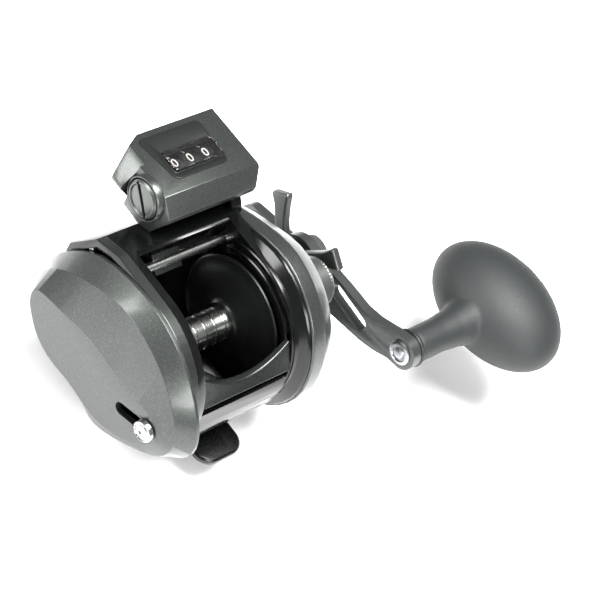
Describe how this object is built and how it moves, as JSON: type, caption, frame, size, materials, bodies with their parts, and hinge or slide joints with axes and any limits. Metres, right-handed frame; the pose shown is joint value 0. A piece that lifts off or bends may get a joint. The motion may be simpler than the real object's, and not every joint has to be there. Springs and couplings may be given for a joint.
{
  "type": "trolling reel",
  "caption": "Low-profile trolling reel with a line counter, level wind, star drag, a slotted power handle and a T-shaped foam knob.",
  "frame": {"origin": "middle of the reel foot's flat underside", "axes": "+X towards the handle, +Y towards the rod tip, +Z away from the rod"},
  "size_m": [0.146, 0.0974, 0.0711],
  "materials": {
    "painted_shell": "metallic gunmetal paint, gloss clear coat",
    "black_frame": "gloss black anodised",
    "foot_black": "gloss black paint",
    "polished_steel": "polished stainless",
    "machined_steel": "turned",
    "spool_black": "gloss black anodised, turned",
    "brass_gear": "hobbed",
    "acetal_gear": "moulded acetal",
    "drag_fibre": "woven carbon",
    "knurled_black": "knurled, anodised",
    "dark_arm": "dark anodised, machined edges",
    "knob_foam": "moulded EVA foam",
    "rubber": "matte",
    "black_plastic": "satin moulded",
    "label_black": "printed, gloss",
    "clear_lens": "clear",
    "digit_black": "printed white figures",
    "chrome": "plated"
  },
  "bodies": {
    "root": {"frame": "black_frame", "foot": "foot_black", "foot_screws": "machined_steel", "palm_cover": "painted_shell", "palm_plate": "black_plastic", "palm_bearing": "machined_steel", "palm_shaft_shim": "machined_steel", "palm_screws": "machined_steel", "yoke_posts": "machined_steel", "yoke_springs": "machined_steel", "gear_pins": "machined_steel", "side_cover": "painted_shell", "side_screws": "machined_steel", "pinion_bearing": "machined_steel", "shaft_bearing": "machined_steel", "anti_reverse_bearing": "machined_steel", "cast_control_shim": "acetal_gear", "worm_tube": "black_plastic", "guide_rod": "polished_steel", "counter_case": "painted_shell", "counter_label": "label_black", "counter_window": "clear_lens"},
    "handle": {"handle_arm": "dark_arm", "handle_nut": "machined_steel", "nut_cap": "chrome", "main_shaft": "machined_steel", "drive_gear": "brass_gear", "drag_washers": "drag_fibre", "drag_plate": "machined_steel", "pressure_plate": "machined_steel", "anti_reverse_sleeve": "machined_steel", "main_cog": "acetal_gear", "knob_spindle": "chrome", "knob_washer": "rubber"},
    "knob_body": {"knob": "knob_foam", "knob_bushings": "acetal_gear"},
    "star": {"star_drag": "dark_arm"},
    "cast_control": {"cast_control_cap": "knurled_black"},
    "spool_body": {"spool": "spool_black", "spool_arbor": "polished_steel", "spool_shaft": "machined_steel", "clicker_ratchet": "machined_steel"},
    "thumb": {"thumb_bar": "black_plastic"},
    "yoke": {"pinion_yoke": "black_plastic"},
    "pinion": {"pinion_gear": "brass_gear"},
    "idler": {"idler_gear": "acetal_gear"},
    "worm": {"worm_shaft": "machined_steel", "worm_gear": "acetal_gear"},
    "counter_idler": {"counter_idler_gear": "acetal_gear"},
    "counter_input": {"counter_gear": "acetal_gear", "counter_axle": "machined_steel"},
    "ones": {"digit_wheel_ones": "digit_black"},
    "tens": {"digit_wheel_tens": "digit_black"},
    "hundreds": {"digit_wheel_hundreds": "digit_black"},
    "carriage": {"line_carriage": "black_plastic", "line_eye": "polished_steel", "worm_pawl": "machined_steel"},
    "clicker": {"clicker_button": "chrome"},
    "reset": {"reset_knob": "dark_arm"}
  },
  "joints": [
    {"name": "handle_turn", "type": "hinge", "parent": "root", "child": "handle", "pos_m": [0.045, 0.01074, 0.01374], "axis": [1, 0, 0], "continuous": true},
    {"name": "knob_spin", "type": "hinge", "parent": "handle", "child": "knob_body", "pos_m": [0.07, -0.0328, 0.02244], "axis": [1, 0, 0], "continuous": true},
    {"name": "star_drag_turn", "type": "hinge", "parent": "handle", "child": "star", "pos_m": [0.05, 0.01074, 0.01374], "axis": [1, 0, 0], "range_deg": [-90, 180]},
    {"name": "cast_control_turn", "type": "hinge", "parent": "root", "child": "cast_control", "pos_m": [0.044, -0.002, 0.023], "axis": [1, 0, 0], "range_deg": [-180, 180]},
    {"name": "spool_spin", "type": "hinge", "parent": "root", "child": "spool_body", "pos_m": [0, -0.002, 0.023], "axis": [1, 0, 0], "continuous": true},
    {"name": "thumb_bar_press", "type": "slide", "parent": "root", "child": "thumb", "axis": [0, 0, -1], "range_m": [0, 0.003], "stiffness_N_per_m": 300, "springref_m": -0.002},
    {"name": "yoke_slide", "type": "slide", "parent": "root", "child": "yoke", "axis": [1, 0, 0], "range_m": [0, 0.0013]},
    {"name": "pinion_spin", "type": "hinge", "parent": "yoke", "child": "pinion", "pos_m": [0.028, -0.002, 0.023], "axis": [1, 0, 0], "continuous": true},
    {"name": "idler_spin", "type": "hinge", "parent": "root", "child": "idler", "pos_m": [0.021, 0.01788, 0.02307], "axis": [1, 0, 0], "continuous": true},
    {"name": "worm_spin", "type": "hinge", "parent": "root", "child": "worm", "pos_m": [0, 0.0205, 0.0335], "axis": [1, 0, 0], "continuous": true},
    {"name": "counter_idler_spin", "type": "hinge", "parent": "root", "child": "counter_idler", "pos_m": [0.021, 0.0231, 0.04367], "axis": [1, 0, 0], "continuous": true},
    {"name": "counter_input_spin", "type": "hinge", "parent": "root", "child": "counter_input", "pos_m": [0.021, 0.0286, 0.0532], "axis": [1, 0, 0], "continuous": true},
    {"name": "ones_wheel_spin", "type": "hinge", "parent": "root", "child": "ones", "pos_m": [0.0144, 0.0286, 0.0532], "axis": [1, 0, 0], "continuous": true},
    {"name": "tens_wheel_spin", "type": "hinge", "parent": "root", "child": "tens", "pos_m": [0.009, 0.0286, 0.0532], "axis": [1, 0, 0], "continuous": true},
    {"name": "hundreds_wheel_spin", "type": "hinge", "parent": "root", "child": "hundreds", "pos_m": [0.0036, 0.0286, 0.0532], "axis": [1, 0, 0], "continuous": true},
    {"name": "carriage_slide", "type": "slide", "parent": "root", "child": "carriage", "axis": [1, 0, 0], "range_m": [-0.0068, 0.0148]},
    {"name": "clicker_slide", "type": "slide", "parent": "root", "child": "clicker", "axis": [-0.0721, 0.9618, -0.264], "range_m": [0, 0.0098]},
    {"name": "reset_knob_turn", "type": "hinge", "parent": "root", "child": "reset", "pos_m": [-0.01, 0.0244, 0.0554], "axis": [1, 0, 0], "continuous": true}
  ],
  "couplings": [
    {"joint": "spool_spin", "follows": "handle_turn", "ratio": -5.3636},
    {"joint": "pinion_spin", "follows": "handle_turn", "ratio": -5.3636},
    {"joint": "idler_spin", "follows": "handle_turn", "ratio": -1.0435},
    {"joint": "worm_spin", "follows": "handle_turn", "ratio": 1.2},
    {"joint": "counter_idler_spin", "follows": "handle_turn", "ratio": -1.0909},
    {"joint": "counter_input_spin", "follows": "handle_turn", "ratio": 1.0909},
    {"joint": "ones_wheel_spin", "follows": "handle_turn", "ratio": 0.16},
    {"joint": "tens_wheel_spin", "follows": "handle_turn", "ratio": 0.016},
    {"joint": "hundreds_wheel_spin", "follows": "handle_turn", "ratio": 0.0016},
    {"joint": "yoke_slide", "follows": "thumb_bar_press", "ratio": 0.4}
  ]
}
